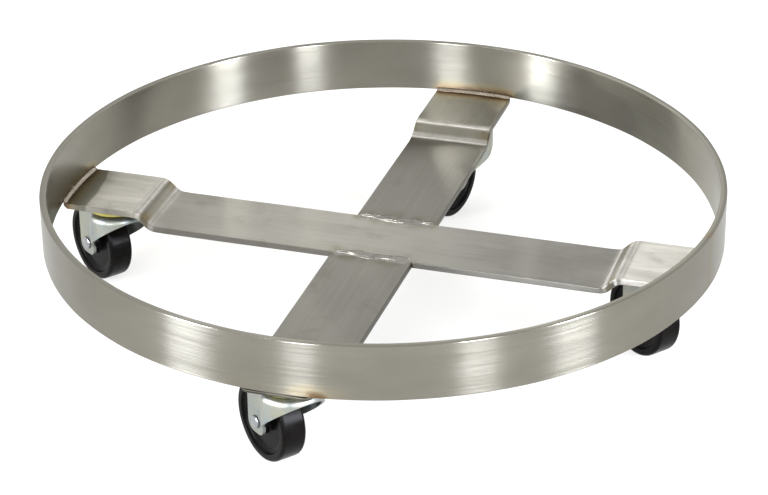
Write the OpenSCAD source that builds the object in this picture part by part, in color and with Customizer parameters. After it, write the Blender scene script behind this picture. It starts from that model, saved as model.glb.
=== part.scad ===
// Drum dolly: a flat-bar hoop welded to a cross of joggled flat bars, on four swivel casters.
// +Z is up and +X runs along the one-piece bar. The origin is the centre of the hoop at the
// level of its lower edge, which is also the level of the four raised pads that carry the drum.

/* [Hoop] */
// Outside diameter of the hoop
ring_od = 610; // [590:1:640]
// Height of the hoop's wall
ring_h = 50; // [35:1:80]
// Thickness of the hoop's wall
ring_t = 6; // [4:0.5:8]
// Bevel on the lower inside edge of the hoop, for the pad welds
ring_bevel = 2.5; // [1.5:0.1:3]

/* [Cross bars] */
// Width of the flat bars
bar_w = 75; // [66:1:84]
// Thickness of the flat bars
bar_t = 6; // [5:0.5:7]
// Drop from the raised pads to the middle of the cross
joggle_drop = 12; // [9:0.5:14]
// Distance from the centre to where the joggle starts to rise
joggle_start = 208; // [190:1:209]
// Inside radius of the joggle's bends
bend_r = 6; // [4:0.5:7]
// Weld-preparation bevel on the top edge of each bar end
end_bevel = 4; // [2:0.5:5]

/* [Casters] */
// Distance from the centre to each swivel axis
swivel_r = 261; // [258:0.5:262]
// Height of a caster, from the pad's underside to the floor
caster_h = 94; // [93:0.5:98]
// Distance by which the wheel's axle trails the swivel axis
trail = 30.5; // [28:0.5:32]
// Diameter of the wheels
wheel_d = 75; // [70:1:76]
// Width of the wheels across the tread
wheel_w = 23; // [20:0.5:23]
// Diameter of the axle bolts
axle_d = 8; // [6:0.5:8]
// Diameter of the kingpins
kingpin_d = 10; // [8:0.5:10]

/* [Resting position] */
// Heading in which the wheel of the right caster trails
heading_right = 141; // [0:1:359]
// Heading in which the wheel of the rear caster trails
heading_rear = 254; // [0:1:359]
// Heading in which the wheel of the left caster trails
heading_left = 143; // [0:1:359]
// Heading in which the wheel of the front caster trails
heading_front = 141; // [0:1:359]

/* [Hidden] */
$fn = 96;

// The four arms of the cross, in order of bearing, and the heading of each arm's wheel
ARMS = ["right", "rear", "left", "front"];
bearings = [0, 90, 180, 270];
headings = [heading_right, heading_rear, heading_left, heading_front];

FRAME = ["ring", "ring_seam_weld", "bar_long", "bar_rear", "bar_front", "centre_weld_rear",
    "centre_weld_front", "plate_welds"];
PER_ARM = ["pad_weld", "caster_plate", "race_cup", "kingpin", "lower_washer", "race_balls",
    "lower_balls", "fork", "axle_bolt", "axle_nut", "wheel_sleeve", "wheel"];

// Hoop
ring_r = ring_od / 2;
ring_ir = ring_r - ring_t;
seam_angle = -6;
seam_w = 5;

// Bars: the ends are cut square and their corners just clear the hoop's inner face
slip = 0.3;
bar_end = sqrt(ring_ir * ring_ir - bar_w * bar_w / 4) - slip;
bend_angle = 45;
bend_mid_r = bend_r + bar_t / 2;
bend_rise = bend_mid_r * (1 - cos(bend_angle));
slope_len = (joggle_drop - 2 * bend_rise) / sin(bend_angle);
joggle_run = 2 * bend_mid_r * sin(bend_angle) + slope_len * cos(bend_angle);
bead_h = 1.2;
bead_w = 11;

// Pad welds: a groove weld over the bar's bevel that rises into the hoop's bevel
crown = ring_bevel - 0.1;
weld_out = ring_r - 3;

// Caster heights, measured from the seat plane of the pads
pad_bottom = -bar_t;
plate_t = 3;
plate_bottom = pad_bottom - plate_t;
plate_len = 70;
plate_w = 60;
plate_corner = 6;
plate_bead = 3;
floor_z = pad_bottom - caster_h;
axle_z = floor_z + wheel_d / 2;
ball_r = 2.5;
race_r = 20;
ball_count = 16;
race_gap = 0.5;
fork_top = plate_bottom - 7.3;
cup_bottom = fork_top + 0.7;
cup_out = 26;
cup_in = 14;
fork_t = 2.5;
fork_under = fork_top - fork_t;
skirt_r = 29;
shoulder_r = 4;
leg_gap = 26;
leg_half = leg_gap / 2 + fork_t;
leg_reach = 12.5;
leg_round = 9;
leg_drop = 10.8;
leg_low = axle_z - leg_drop;
run_gap = 0.08;
lower_ball_r = 2;
lower_race_r = 10.5;
lower_count = 12;
washer_top = fork_under - 2 * lower_ball_r - 0.4;
washer_t = 2;
washer_r = 15;
pin_head_t = 2.8;
pin_head_r = 8;
touch = 0.02;

// Axle, sleeve and wheel
sleeve_d = 12;
hex_flats = 13;
hex_r = hex_flats / sqrt(3);
dome_r = 6;
dome_t = 2.6;
nut_t = 7;
bolt_past_nut = 2;
hub_w = leg_gap - 1;
hub_r = 11;
rim_r = 30;
dish = 4;
tread_round = 3;

// ---- places ----

module at_arm(i) {
    rotate([0, 0, bearings[i]]) translate([swivel_r, 0, 0]) children();
}

// The caster's own frame: the swivel axis on Z and the wheel trailing towards +X
module at_caster(i) {
    at_arm(i) rotate([0, 0, headings[i] - bearings[i]]) children();
}

// The axle's own frame: its centre at the origin and the bolt head's side towards +Z
module at_axle(i) {
    at_caster(i) translate([trail, 0, axle_z]) rotate([-90, 0, 0]) children();
}

// ---- hoop ----

module hoop_section() {
    polygon([[ring_ir + ring_bevel, 0], [ring_r, 0], [ring_r, ring_h], [ring_ir, ring_h],
        [ring_ir, ring_bevel]]);
}

module hoop() {
    rotate_extrude($fn = 240) hoop_section();
}

module ring() {
    color("silver") hoop();
}

// The closing seam of the hoop, a ground bead on the outside of the wall
module ring_seam_weld() {
    seam_top = 0.4;
    color("tan")
    rotate([0, 0, seam_angle])
    intersection() {
        difference() {
            cylinder(r = ring_r + seam_top, h = ring_h, $fn = 240);
            translate([0, 0, -1]) cylinder(r = ring_r, h = ring_h + 2, $fn = 240);
        }
        translate([ring_r - 5, -seam_w / 2, 1]) cube([10, seam_w, ring_h - 2]);
    }
}

// ---- bars ----

// Points of one side of an arm, from the middle of the cross to the pad.
// side is +1 for the top and -1 for the underside.
function arm_side(side) =
    let (
        off = side * bar_t / 2,
        low = -bar_t / 2 - joggle_drop,
        step = bend_angle / 6,
        lower = [for (a = [0:step:bend_angle])
            [joggle_start + (bend_mid_r - off) * sin(a), low + bend_mid_r - (bend_mid_r - off) * cos(a)]],
        upper = [for (a = [bend_angle:-step:-0.01])
            [joggle_start + joggle_run - (bend_mid_r + off) * sin(a),
                -bar_t / 2 - bend_mid_r + (bend_mid_r + off) * cos(a)]]
    )
    concat(lower, upper);

arm_end = [[bar_end - end_bevel, 0], [bar_end, -end_bevel], [bar_end, -bar_t]];

function reversed(list) = [for (i = [len(list) - 1:-1:0]) list[i]];
function mirrored(list) = [for (p = list) [-p[0], p[1]]];

// Half of the outline, from the top of the joggle to its underside
half_outline = concat(arm_side(1), arm_end, reversed(arm_side(-1)));

module across_bar(w) {
    rotate([90, 0, 0]) linear_extrude(w, center = true) children();
}

module arm_bar() {
    start = bar_w / 2;
    root = [[start, -bar_t - joggle_drop], [start, -joggle_drop]];
    across_bar(bar_w) polygon(concat(root, half_outline));
}

module bar_long() {
    color("silver") across_bar(bar_w) polygon(concat(half_outline, reversed(mirrored(half_outline))));
}

module bar_rear() {
    color("silver") rotate([0, 0, 90]) arm_bar();
}

module bar_front() {
    color("silver") rotate([0, 0, 270]) arm_bar();
}

// ---- welds ----

// A low bead with a round crown, along Y and standing on z = 0
module bead(len, w, h) {
    r = (w * w / 4 + h * h) / (2 * h);
    rotate([90, 0, 0]) linear_extrude(len, center = true)
        intersection() {
            translate([0, h - r]) circle(r);
            translate([-w / 2, 0]) square([w, h]);
        }
}

// The butt seam between a short bar and the long one, beaded above and below
module centre_weld(bearing) {
    color("gray")
    rotate([0, 0, bearing]) {
        translate([bar_w / 2, 0, -joggle_drop]) bead(bar_w - 2, bead_w, bead_h);
        translate([bar_w / 2, 0, -joggle_drop - bar_t]) mirror([0, 0, 1]) bead(bar_w - 2, bead_w, bead_h);
    }
}

module centre_weld_rear() {
    centre_weld(90);
}

module centre_weld_front() {
    centre_weld(270);
}

module pad_weld(i) {
    toe = bar_end - end_bevel;
    section = [[toe, 0], [toe + 1.4, crown * 0.7], [toe + 3.6, crown], [weld_out, crown],
        [weld_out, -1.2], [weld_out - 2.5, -4], [bar_end, -5], [bar_end, -end_bevel]];
    color("gray")
    rotate([0, 0, bearings[i]])
    difference() {
        across_bar(bar_w - 1) polygon(section);
        hoop();
    }
}

// Fillets along the two long edges of each caster plate, under the pad
module plate_welds() {
    color("gray")
    for (i = [0:3], side = [-1, 1])
        at_arm(i) translate([0, side * plate_w / 2, pad_bottom])
            rotate([90, 0, 90]) linear_extrude(plate_len - 2 * plate_corner - 6, center = true)
                polygon([[0, 0], [side * plate_bead, 0], [0, -plate_bead]]);
}

// ---- caster: parts fixed to the pad ----

module kingpin_shape() {
    rotate_extrude() polygon([[0, pad_bottom], [9, pad_bottom], [kingpin_d / 2, plate_bottom + 0.5],
        [kingpin_d / 2, washer_top - washer_t], [pin_head_r, washer_top - washer_t],
        [pin_head_r - 1.5, washer_top - washer_t - pin_head_t], [0, washer_top - washer_t - pin_head_t]]);
}

module caster_plate(i) {
    color("lightgray")
    at_arm(i) difference() {
        translate([0, 0, plate_bottom]) {
            translate([-plate_len / 2 + plate_corner, -plate_w / 2, 0])
                cube([plate_len - 2 * plate_corner, plate_w, plate_t]);
            translate([-plate_len / 2, -plate_w / 2 + plate_corner, 0])
                cube([plate_len, plate_w - 2 * plate_corner, plate_t]);
            for (x = [-1, 1], y = [-1, 1])
                translate([x * (plate_len / 2 - plate_corner), y * (plate_w / 2 - plate_corner), 0])
                    cylinder(r = plate_corner, h = plate_t);
        }
        kingpin_shape();
    }
}

// Pressed upper race, with a round groove that opens down over the balls
module race_cup(i) {
    ball_z = fork_top + ball_r + touch;
    groove_r = ball_r + race_gap;
    color("gold")
    at_arm(i) rotate_extrude() difference() {
        union() {
            translate([cup_in, cup_bottom]) square([cup_out - cup_in - 2, plate_bottom - cup_bottom]);
            translate([cup_in, cup_bottom + 2]) square([cup_out - cup_in, plate_bottom - cup_bottom - 2]);
            translate([cup_out - 2, cup_bottom + 2]) circle(2, $fn = 32);
        }
        translate([race_r, ball_z]) circle(groove_r, $fn = 48);
        translate([race_r - groove_r, cup_bottom - 1]) square([2 * groove_r, ball_z - cup_bottom + 1]);
    }
}

module kingpin(i) {
    color("silver") at_arm(i) kingpin_shape();
}

module lower_washer(i) {
    color("silver")
    at_arm(i) translate([0, 0, washer_top - washer_t]) difference() {
        cylinder(r = washer_r, h = washer_t);
        translate([0, 0, -1]) cylinder(d = kingpin_d, h = washer_t + 2);
    }
}

// ---- caster: parts that swivel ----

module ball_ring(count, pitch_r, r, z) {
    color("silver")
    for (k = [0:count - 1])
        rotate([0, 0, k * 360 / count]) translate([pitch_r, 0, z]) sphere(r, $fn = 32);
}

module race_balls(i) {
    at_caster(i) ball_ring(ball_count, race_r, ball_r, fork_top + ball_r + touch);
}

module lower_balls(i) {
    at_caster(i) ball_ring(lower_count, lower_race_r, lower_ball_r, fork_under - lower_ball_r - touch);
}

// Half section of the pressed crown and skirt: a disc with a round shoulder and a wall below it
module crown_section(grow) {
    r = skirt_r - grow;
    top = fork_top - grow;
    round_r = shoulder_r + fork_t - grow;
    translate([0, leg_low]) square([r - round_r, top - leg_low]);
    translate([0, leg_low]) square([r, top - round_r - leg_low]);
    translate([r - round_r, top - round_r]) circle(round_r);
}

module crown_shell() {
    rotate_extrude() difference() {
        intersection() {
            crown_section(0);
            translate([0, leg_low]) square([skirt_r, fork_top - leg_low]);
        }
        intersection() {
            crown_section(fork_t);
            translate([-1, leg_low - 1]) square([skirt_r, fork_under - leg_low + 1]);
        }
    }
}

// Side view of the fork: straight back edge, round leg end and a front edge that runs up to the crown
module fork_side() {
    knee = [16.5, axle_z + 1.2];
    nose = [-skirt_r - 1, fork_top - 5.2];
    polygon([[-skirt_r - 1, fork_top], [skirt_r - 2, fork_top], [trail + leg_reach, fork_top - 18],
        [trail + leg_reach, axle_z], [trail - leg_reach, axle_z], knee, nose]);
    hull() {
        for (side = [-1, 1])
            translate([trail + side * (leg_reach - leg_round), leg_low + leg_round]) circle(leg_round);
        translate([trail - leg_reach, axle_z]) square([2 * leg_reach, 1]);
    }
}

// Cross-section of the two legs and the web that joins them over the wheel
module strap_section(grow) {
    half = leg_half - grow;
    top = fork_top - grow;
    round_r = shoulder_r - grow;
    translate([-half, leg_low - grow]) square([2 * half, top - round_r - leg_low + grow]);
    translate([round_r - half, leg_low]) square([2 * (half - round_r), top - leg_low]);
    for (side = [-1, 1])
        translate([side * (half - round_r), top - round_r]) circle(round_r);
}

module strap(start) {
    translate([start, 0, 0]) rotate([90, 0, 90]) linear_extrude(trail + leg_reach - start)
        difference() {
            strap_section(0);
            strap_section(fork_t);
        }
}

module fork(i) {
    leg_start = 21;
    color("lightsteelblue")
    at_caster(i) difference() {
        intersection() {
            union() {
                difference() {
                    crown_shell();
                    translate([leg_start + 1, -skirt_r - 1, leg_low - 1])
                        cube([skirt_r, 2 * skirt_r + 2, fork_under - shoulder_r - leg_low + 1]);
                }
                strap(leg_start);
            }
            across_bar(2 * skirt_r + 2) fork_side();
        }
        translate([0, 0, fork_under - 1]) cylinder(r = kingpin_d / 2 + run_gap, h = fork_t + 2);
        translate([trail, 0, axle_z]) rotate([90, 0, 0]) cylinder(d = axle_d, h = 60, center = true);
    }
}

module hexagon(h) {
    cylinder(r = hex_r, h = h, $fn = 6);
}

// Bolt with a low domed head, and its nut on the other leg
module axle_bolt(i) {
    tip = leg_half + nut_t + bolt_past_nut;
    ball = (dome_r * dome_r + dome_t * dome_t) / (2 * dome_t);
    color("silver")
    at_axle(i) {
        translate([0, 0, leg_half]) rotate_extrude() intersection() {
            translate([0, dome_t - ball]) circle(ball, $fn = 192);
            square([dome_r, dome_t]);
        }
        translate([0, 0, 1 - tip]) cylinder(d = axle_d, h = leg_half + tip - 1);
        translate([0, 0, -tip]) cylinder(d1 = axle_d - 2, d2 = axle_d, h = 1);
    }
}

module axle_nut(i) {
    color("silver")
    at_axle(i) translate([0, 0, -leg_half]) mirror([0, 0, 1]) difference() {
        union() {
            cylinder(r = hex_r + 0.8, h = 1.2);
            translate([0, 0, 1.2]) hexagon(nut_t - 1.2);
        }
        translate([0, 0, -1]) cylinder(d = axle_d, h = nut_t + 2);
    }
}

module wheel_sleeve(i) {
    color("silver")
    at_axle(i) difference() {
        cylinder(d = sleeve_d, h = leg_gap, center = true);
        cylinder(d = axle_d, h = leg_gap + 2, center = true);
    }
}

// ---- caster: the wheel ----

module wheel_section() {
    r = wheel_d / 2;
    bore_r = sleeve_d / 2 + run_gap;
    half = wheel_w / 2;
    difference() {
        union() {
            translate([bore_r, -hub_w / 2]) square([hub_r - bore_r, hub_w]);
            translate([bore_r, -half]) square([r - tread_round - bore_r, wheel_w]);
            translate([bore_r, tread_round - half]) square([r - bore_r, wheel_w - 2 * tread_round]);
            for (side = [-1, 1])
                translate([r - tread_round, side * (half - tread_round)]) circle(tread_round, $fn = 48);
        }
        for (side = [-1, 1])
            translate([(hub_r + rim_r) / 2, side * half]) square([rim_r - hub_r, 2 * dish], center = true);
    }
}

module wheel(i) {
    color("dimgray") at_axle(i) rotate_extrude($fn = 144) wheel_section();
}

// ---- the whole dolly ----

module per_arm(part, i) {
    if (part == "pad_weld") pad_weld(i);
    if (part == "caster_plate") caster_plate(i);
    if (part == "race_cup") race_cup(i);
    if (part == "kingpin") kingpin(i);
    if (part == "lower_washer") lower_washer(i);
    if (part == "race_balls") race_balls(i);
    if (part == "lower_balls") lower_balls(i);
    if (part == "fork") fork(i);
    if (part == "axle_bolt") axle_bolt(i);
    if (part == "axle_nut") axle_nut(i);
    if (part == "wheel_sleeve") wheel_sleeve(i);
    if (part == "wheel") wheel(i);
}

ring();
ring_seam_weld();
bar_long();
bar_rear();
bar_front();
centre_weld_rear();
centre_weld_front();
plate_welds();
for (part = PER_ARM, i = [0:3])
    per_arm(part, i);
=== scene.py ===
"""The looks of the drum dolly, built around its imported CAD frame.

Shapes are written in millimetres in the frame of the part: +Z up, +X along the one-piece bar,
the origin in the middle of the hoop at the level of its lower edge.
"""

import math
import random

import bmesh
import bpy
from mathutils import Matrix, Vector, noise


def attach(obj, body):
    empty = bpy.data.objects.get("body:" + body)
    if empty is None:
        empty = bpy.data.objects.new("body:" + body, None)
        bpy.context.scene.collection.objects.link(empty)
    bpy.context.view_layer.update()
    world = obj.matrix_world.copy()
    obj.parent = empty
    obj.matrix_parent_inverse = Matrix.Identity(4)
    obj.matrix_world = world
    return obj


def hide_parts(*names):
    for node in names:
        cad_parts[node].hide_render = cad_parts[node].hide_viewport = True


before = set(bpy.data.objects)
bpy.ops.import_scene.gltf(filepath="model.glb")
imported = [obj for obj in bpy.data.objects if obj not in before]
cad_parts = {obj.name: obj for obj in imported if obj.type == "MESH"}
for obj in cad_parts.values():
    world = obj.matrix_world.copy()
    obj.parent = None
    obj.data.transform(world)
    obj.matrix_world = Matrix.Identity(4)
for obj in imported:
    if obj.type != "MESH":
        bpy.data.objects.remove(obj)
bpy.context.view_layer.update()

MM = 0.001
UV_NAME = "grain"

# ---- sizes: the CAD's, but for softer joggle bends and the chamfer at the bars' ends ----

RING_R = 305.0
RING_T = 6.0
RING_IR = RING_R - RING_T
RING_H = 50.0
SEAM = math.radians(-6)

BAR_W = 75.0
BAR_T = 6.0
DROP = 12.0
JOGGLE_START = 207.2
BEND = math.radians(45)
BEND_R = 11.0
BAR_END = math.sqrt(RING_IR**2 - BAR_W**2 / 4) - 0.3
END_CUT = 3.5
BAR_EDGE_R = 0.9

SWIVEL_R = 261.0
KINGPIN_HOLE_R = 5.2
TRAIL = 30.5
FLOOR_Z = -100.0
WHEEL_R = 37.5
AXLE_Z = FLOOR_Z + WHEEL_R
PLATE_BOTTOM = -9.0
FORK_TOP = -16.3
FORK_T = 2.5
SKIRT_R = 29.0
SHOULDER = 6.5
LEG_Y = 15.5
LEG_REACH = 12.5
LEG_ROUND = 9.0
LEG_DROP = 10.8
WEB_T = 27.0
AXLE_R = 4.0
HEX_FLATS = 13.0
NUT_END = 7.0

ARMS = ("right", "rear", "left", "front")
BEARINGS = dict(zip(ARMS, (0, 90, 180, 270)))
HEADINGS = dict(zip(ARMS, (141, 254, 143, 141)))


# ---- mesh helpers ----


def link(obj):
    bpy.context.scene.collection.objects.link(obj)
    return obj


def new_object(name, verts, faces, uvs=None, matrix=None, sharp=40):
    """A smooth-shaded mesh from points in millimetres.

    uvs gives one (u, v) in mm for each corner of each face.
    """
    place = matrix or Matrix.Identity(4)
    mesh = bpy.data.meshes.new(name)
    mesh.from_pydata([(place @ Vector(v)) * MM for v in verts], [], faces)
    if uvs:
        layer = mesh.uv_layers.new(name=UV_NAME)
        flat = [uv for face in uvs for uv in face]
        for loop, (u, v) in zip(layer.data, flat):
            loop.uv = (u * MM, v * MM)
    mesh.validate()
    bm = bmesh.new()
    bm.from_mesh(mesh)
    bmesh.ops.recalc_face_normals(bm, faces=bm.faces)
    bm.to_mesh(mesh)
    bm.free()
    mesh.shade_smooth()
    mesh.set_sharp_from_angle(angle=math.radians(sharp))
    return link(bpy.data.objects.new(name, mesh))


def arc_corner(before, corner, after, radius, steps):
    """The points of a fillet at one corner of a 2-D outline."""
    p, a, b = Vector(corner), Vector(before), Vector(after)
    da, db = (a - p).normalized(), (b - p).normalized()
    half = da.angle(db) / 2
    if half > math.radians(89):
        return [corner]
    centre = p + (da + db).normalized() * (radius / math.sin(half))
    start = p + da * (radius / math.tan(half)) - centre
    end = p + db * (radius / math.tan(half)) - centre
    sweep = start.angle_signed(end)
    out = []
    for k in range(steps + 1):
        turn = -sweep * k / steps
        c, s = math.cos(turn), math.sin(turn)
        out.append((centre.x + start.x * c - start.y * s, centre.y + start.x * s + start.y * c))
    return out


def rounded(corners, steps=4):
    """A closed outline from (x, y, fillet radius) corners."""
    out = []
    n = len(corners)
    for i, (x, y, r) in enumerate(corners):
        before, after = corners[i - 1][:2], corners[(i + 1) % n][:2]
        out += arc_corner(before, (x, y), after, r, steps)
    return out


def spanned(outline, gap, near):
    """Adds points to an outline's straight runs: one near each end, to keep it flat, and one every gap."""
    out = []
    for i, p in enumerate(outline):
        a, b = Vector(p), Vector(outline[(i + 1) % len(outline)])
        out.append(tuple(a))
        length = (b - a).length
        if length > 3 * near:
            spans = max(1, math.ceil((length - 2 * near) / gap))
            for k in range(spans + 1):
                f = (near + (length - 2 * near) * k / spans) / length
                out.append(tuple(a.lerp(b, f)))
    return out


def loft(name, sections, matrix=None, wrap=False, stations=None, sharp=40, v_of=None):
    """Closed sections joined by quads. stations gives each section's place along the grain, in mm."""
    n, m = len(sections), len(sections[0])
    verts = [p for section in sections for p in section]
    along = stations or [0.0] * n
    if v_of is None:
        v_of = [0.0]
        for j in range(m):
            a, b = Vector(sections[0][j]), Vector(sections[0][(j + 1) % m])
            v_of.append(v_of[-1] + (b - a).length)
    faces, uvs = [], []
    rows = n if wrap else n - 1
    for i in range(rows):
        k = (i + 1) % n
        u0 = along[i]
        u1 = along[k] if k or not wrap else along[-1] + (along[1] - along[0])
        for j in range(m):
            q = (j + 1) % m
            faces.append((i * m + j, i * m + q, k * m + q, k * m + j))
            uvs.append(((u0, v_of[j]), (u0, v_of[j + 1]), (u1, v_of[j + 1]), (u1, v_of[j])))
    if not wrap:
        for i, flip in ((0, False), (n - 1, True)):
            ring = [i * m + j for j in range(m)]
            centre = len(verts)
            verts.append(tuple(sum(c) / m for c in zip(*sections[i])))
            for j in range(m):
                a, b = ring[j], ring[(j + 1) % m]
                faces.append((a, b, centre) if flip else (b, a, centre))
                v0, v1 = v_of[j], v_of[j + 1]
                edge = ((along[i], v0), (along[i], v1)) if flip else ((along[i], v1), (along[i], v0))
                uvs.append((*edge, (along[i], (v0 + v1) / 2)))
    return new_object(name, verts, faces, uvs, matrix, sharp)


AXIS_GAP = 0.02


def lathe(name, outline, matrix=None, turns=96, sharp=40):
    """A closed (radius, height) outline turned about Z. Points on the axis are kept just off it."""
    outline = spanned(outline, 6.0, 0.3)
    sections = []
    for i in range(turns):
        a = 2 * math.pi * i / turns
        c, s = math.cos(a), math.sin(a)
        sections.append([(max(r, AXIS_GAP) * c, max(r, AXIS_GAP) * s, z) for r, z in outline])
    r_max = max(r for r, z in outline)
    stations = [2 * math.pi * r_max * i / turns for i in range(turns)]
    return loft(name, sections, matrix, wrap=True, stations=stations, sharp=sharp)


def joined(name, objects):
    """Several objects made into one."""
    bm = bmesh.new()
    for obj in objects:
        bm.from_mesh(obj.data)
    mesh = bpy.data.meshes.new(name)
    bm.to_mesh(mesh)
    bm.free()
    for obj in objects:
        old = obj.data
        bpy.data.objects.remove(obj)
        bpy.data.meshes.remove(old)
    return link(bpy.data.objects.new(name, mesh))


def smooth_step(x, lo, hi):
    t = min(max((x - lo) / (hi - lo), 0.0), 1.0)
    return t * t * (3 - 2 * t)


# ---- places ----


def arm_matrix(arm):
    return Matrix.Rotation(math.radians(BEARINGS[arm]), 4, "Z") @ Matrix.Translation((SWIVEL_R, 0, 0))


def caster_matrix(arm):
    turn = Matrix.Rotation(math.radians(HEADINGS[arm] - BEARINGS[arm]), 4, "Z")
    return arm_matrix(arm) @ turn


def axle_matrix(arm):
    to_axle = Matrix.Translation((TRAIL, 0, AXLE_Z))
    return caster_matrix(arm) @ to_axle @ Matrix.Rotation(math.radians(-90), 4, "X")


# ---- hoop ----


def make_ring():
    """The rolled flat bar: soft sheared edges, and the faint flats that rolling leaves."""
    turns = 480
    edge = 0.5
    corners = [(RING_IR, 0, edge), (RING_R, 0, edge), (RING_R, RING_H, edge), (RING_IR, RING_H, edge)]
    outline = spanned(rounded(corners, 3), 6.0, 0.5)
    sections, stations = [], []
    for i in range(turns):
        a = 2 * math.pi * i / turns
        bow = 0.16 * math.sin(9 * a + 0.7) + 0.10 * math.sin(17 * a + 2.1) + 0.06 * math.sin(31 * a)
        lean = 0.15 * math.sin(5 * a + 1.3)
        angle = SEAM + a
        c, s = math.cos(angle), math.sin(angle)
        section = []
        for r, z in outline:
            rr = r + bow * 0.8 + lean * (z / RING_H - 0.5)
            section.append((rr * c, rr * s, z))
        sections.append(section)
        stations.append(a * RING_R)
    return loft("hoop", sections, wrap=True, stations=stations)


# ---- bars ----


def arm_path(start):
    """Middle line of one arm, from start out to the pad's end: (x, z, slope angle, nearness to a bend)."""
    low = -BAR_T / 2 - DROP
    rise = BEND_R * (1 - math.cos(BEND))
    run = BEND_R * math.sin(BEND)
    slope = (DROP - 2 * rise) / math.sin(BEND)
    top_start = JOGGLE_START + 2 * run + slope * math.cos(BEND)
    points = []
    flat = 24
    for k in range(flat):
        points.append((start + (JOGGLE_START - start) * k / flat, low, 0.0, 0.0))
    steps = 10
    for k in range(steps + 1):
        a = BEND * k / steps
        points.append((JOGGLE_START + BEND_R * math.sin(a), low + BEND_R * (1 - math.cos(a)), a, 1.0))
    x0, z0 = points[-1][0], points[-1][1]
    for k in range(1, 4):
        f = slope * k / 4
        points.append((x0 + f * math.cos(BEND), z0 + f * math.sin(BEND), BEND, 0.2))
    for k in range(steps, -1, -1):
        a = BEND * k / steps
        points.append((top_start - BEND_R * math.sin(a), -BAR_T / 2 - BEND_R * (1 - math.cos(a)), a, -1.0))
    for k in range(1, 17):
        points.append((top_start + (BAR_END - END_CUT - top_start) * k / 16, -BAR_T / 2, 0.0, 0.0))
    for k in range(1, 5):
        points.append((BAR_END - END_CUT + END_CUT * k / 4, -BAR_T / 2, 0.0, 0.0))
    return points


BAR_OUTLINE = spanned(rounded([
    (-BAR_W / 2, -BAR_T / 2, BAR_EDGE_R), (BAR_W / 2, -BAR_T / 2, BAR_EDGE_R),
    (BAR_W / 2, BAR_T / 2, BAR_EDGE_R), (-BAR_W / 2, BAR_T / 2, BAR_EDGE_R),
], 3), 8.0, 0.5)


def bar_section(bend, wobble):
    """Cross-section of the flat bar: (across, through). Pressing swells the inner side of a bend."""
    swell_top = 0.55 * max(bend, 0.0) - 0.25 * max(-bend, 0.0)
    swell_low = 0.55 * max(-bend, 0.0) - 0.25 * max(bend, 0.0)
    out = []
    for across, through in BAR_OUTLINE:
        swell = wobble + swell_low + (swell_top - swell_low) * (through / BAR_T + 0.5)
        out.append((across * (1 + swell / (BAR_W / 2)), through))
    return out


def lowest(x):
    """How low the section may reach at x. The underside is chamfered towards the bar's ends."""
    if abs(x) <= BAR_END - END_CUT:
        return -BAR_T
    return min(abs(x) - BAR_END + END_CUT, END_CUT) - BAR_T / 2


def make_bar(name, path, turn):
    """A bar swept along its path: one arm, or two arms back to back."""
    sections, stations, length = [], [], 0.0
    last = None
    for x, z, slope, bend in path:
        if last is not None:
            length += math.hypot(x - last[0], z - last[1])
        last = (x, z)
        wobble = 0.10 * noise.noise((x * 0.03, turn, 3.1))
        nx, nz = -math.sin(slope), math.cos(slope)
        section = []
        for across, through in bar_section(bend, wobble):
            sag = 0.12 * noise.noise((x * 0.018, across * 0.03, turn + 7.0))
            t = max(through + sag, lowest(x))
            section.append((x + nx * t, across, z + nz * t))
        sections.append(section)
        stations.append(length)
    return loft(name, sections, Matrix.Rotation(math.radians(turn), 4, "Z"), stations=stations, sharp=50)


def make_long_bar():
    out = arm_path(0.0)
    back = [(-x, z, -slope, bend) for x, z, slope, bend in reversed(out[1:])]
    return make_bar("long_bar", back + out, 0)


# ---- welds ----


WELD_STEP = 0.45
WELD_TAPER = 3.5


def weld_bead(name, toe_a, toe_b, out, length, bulge, pitch=2.2, ripple=0.22, seed=1, ground=False,
              root=0.8, matrix=None):
    """A run of weld between two toe lines. toe_a, toe_b and out are functions of the distance along it.

    The surface carries the overlapping crescents of a hand-run bead, and it thins at both ends.
    """
    rows = max(int(length / WELD_STEP), 8)
    across = 14
    sections, stations = [], []
    for i in range(rows + 1):
        s = length * i / rows
        a, b, up = Vector(toe_a(s)), Vector(toe_b(s)), Vector(out(s)).normalized()
        end = min(s, length - s)
        cap = math.sqrt(max(0.0, 1 - max(0.0, 1 - end / WELD_TAPER) ** 2)) * 0.92 + 0.08
        fat = 1 + 0.20 * noise.noise((s * 0.16, seed * 3.7, 0.5))
        side_a = 1 + 0.10 * noise.noise((s * 0.35, seed * 1.9, 4.0))
        side_b = 1 + 0.10 * noise.noise((s * 0.35, seed * 1.9, 9.0))
        mid = (a + b) / 2
        a2 = mid + (a - mid) * side_a * (0.55 + 0.45 * cap)
        b2 = mid + (b - mid) * side_b * (0.55 + 0.45 * cap)
        section = []
        for j in range(across + 1):
            w = j / across
            lobe = math.sin(math.pi * w) ** 0.8
            lag = (1 - (2 * w - 1) ** 2) * pitch * 0.9
            wander = 0.35 * pitch * noise.noise((s * 0.12, w, seed * 2.3))
            phase = ((s - lag + wander) / pitch) % 1.0
            wave = 0.0 if ground else ripple * (0.5 - abs(phase - 0.35) * 1.3) * lobe
            rough = 0.05 * noise.noise((s * 0.9, w * 6, seed * 5.1))
            height = (bulge * lobe * fat + wave) * cap + rough * lobe
            section.append(tuple(a2.lerp(b2, w) + up * height))
        section.append(tuple(b2 - up * root * (0.3 + 0.7 * cap)))
        section.append(tuple(a2 - up * root * (0.3 + 0.7 * cap)))
        sections.append(section)
        stations.append(s)
    v_of = [1000.0 * j / across for j in range(across + 1)] + [1000.0, 0.0, 0.0]
    return loft(name, sections, matrix, stations=stations, sharp=75, v_of=v_of)


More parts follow.
